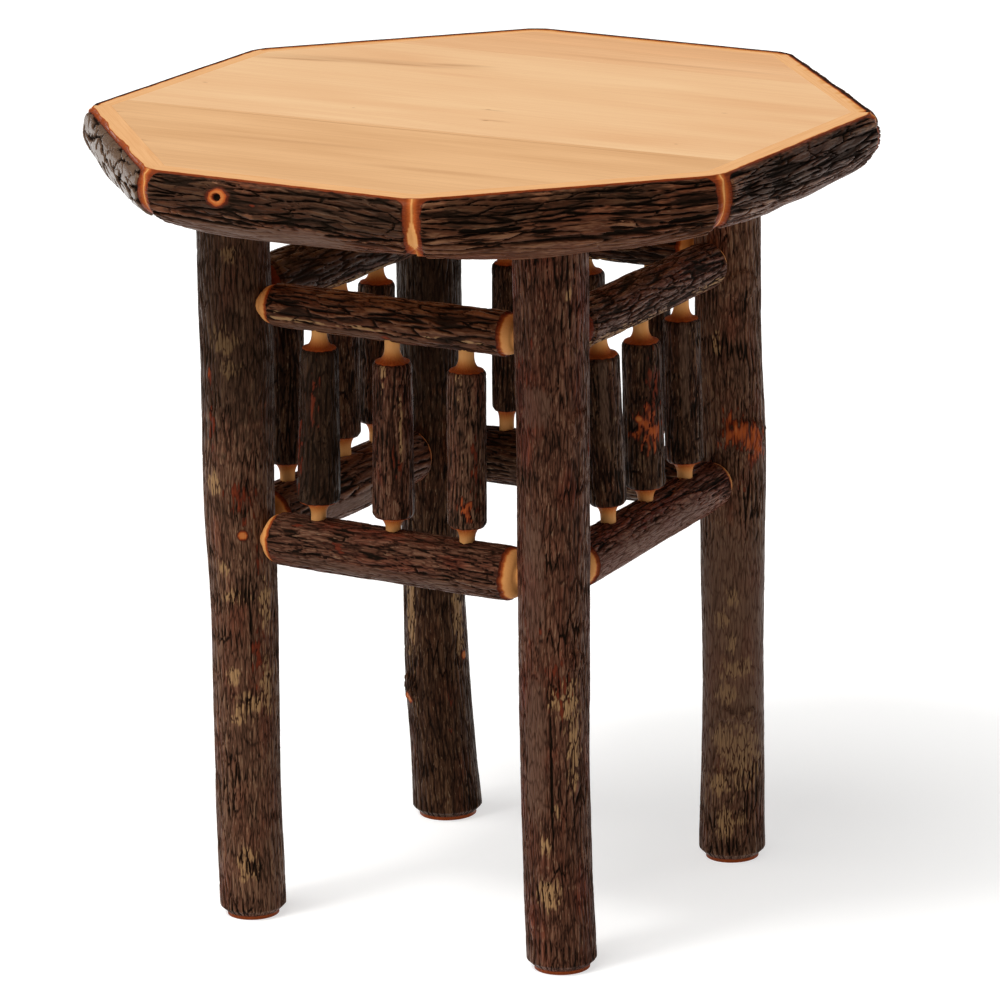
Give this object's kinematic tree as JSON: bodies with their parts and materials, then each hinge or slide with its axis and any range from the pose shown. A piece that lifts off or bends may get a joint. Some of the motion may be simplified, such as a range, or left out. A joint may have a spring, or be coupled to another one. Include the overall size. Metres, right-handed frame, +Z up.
{
  "type": "rustic hickory table",
  "caption": "Octagonal rustic side table: a flat board top edged with bark-on half logs, on bark-on pole legs tied by rails and turned-neck spindles.",
  "frame": {"origin": "on the floor under the middle of the table top", "axes": "+Z up; the front panel of spindles faces -Y, the right one +X"},
  "size_m": [0.609, 0.609, 0.66],
  "materials": {
    "lacquered_boards": "satin lacquer over pale straight-grained boards",
    "bark_edging": "fissured bark under satin lacquer, planed pale wood on top",
    "bark_poles": "fissured bark under satin lacquer",
    "bark_rails": "bark under satin lacquer, peeled domed ends",
    "bark_spindles": "bark under satin lacquer, turned pale necks",
    "batten_wood": "planed, sealed",
    "dowel_wood": "plain fluted birch",
    "zinc_plated_screws": "bright zinc plate"
  },
  "bodies": {
    "root": {"batten_left": "batten_wood", "batten_right": "batten_wood", "batten_screws": "zinc_plated_screws", "edge_dowels": "dowel_wood", "edge_log_back": "bark_edging", "edge_log_back_left": "bark_edging", "edge_log_back_right": "bark_edging", "edge_log_front": "bark_edging", "edge_log_front_left": "bark_edging", "edge_log_front_right": "bark_edging", "edge_log_left": "bark_edging", "edge_log_right": "bark_edging", "leg_back_left": "bark_poles", "leg_back_right": "bark_poles", "leg_front_left": "bark_poles", "leg_front_right": "bark_poles", "leg_lag_screws": "zinc_plated_screws", "lower_rail_back": "bark_rails", "lower_rail_front": "bark_rails", "lower_rail_left": "bark_rails", "lower_rail_right": "bark_rails", "spindle_back_1": "bark_spindles", "spindle_back_2": "bark_spindles", "spindle_back_3": "bark_spindles", "spindle_front_1": "bark_spindles", "spindle_front_2": "bark_spindles", "spindle_front_3": "bark_spindles", "spindle_left_1": "bark_spindles", "spindle_left_2": "bark_spindles", "spindle_left_3": "bark_spindles", "spindle_right_1": "bark_spindles", "spindle_right_2": "bark_spindles", "spindle_right_3": "bark_spindles", "top_board_back": "lacquered_boards", "top_board_front": "lacquered_boards", "top_board_middle": "lacquered_boards", "top_board_rear_strip": "lacquered_boards", "upper_rail_back": "bark_rails", "upper_rail_front": "bark_rails", "upper_rail_left": "bark_rails", "upper_rail_right": "bark_rails"}
  },
  "joints": []
}
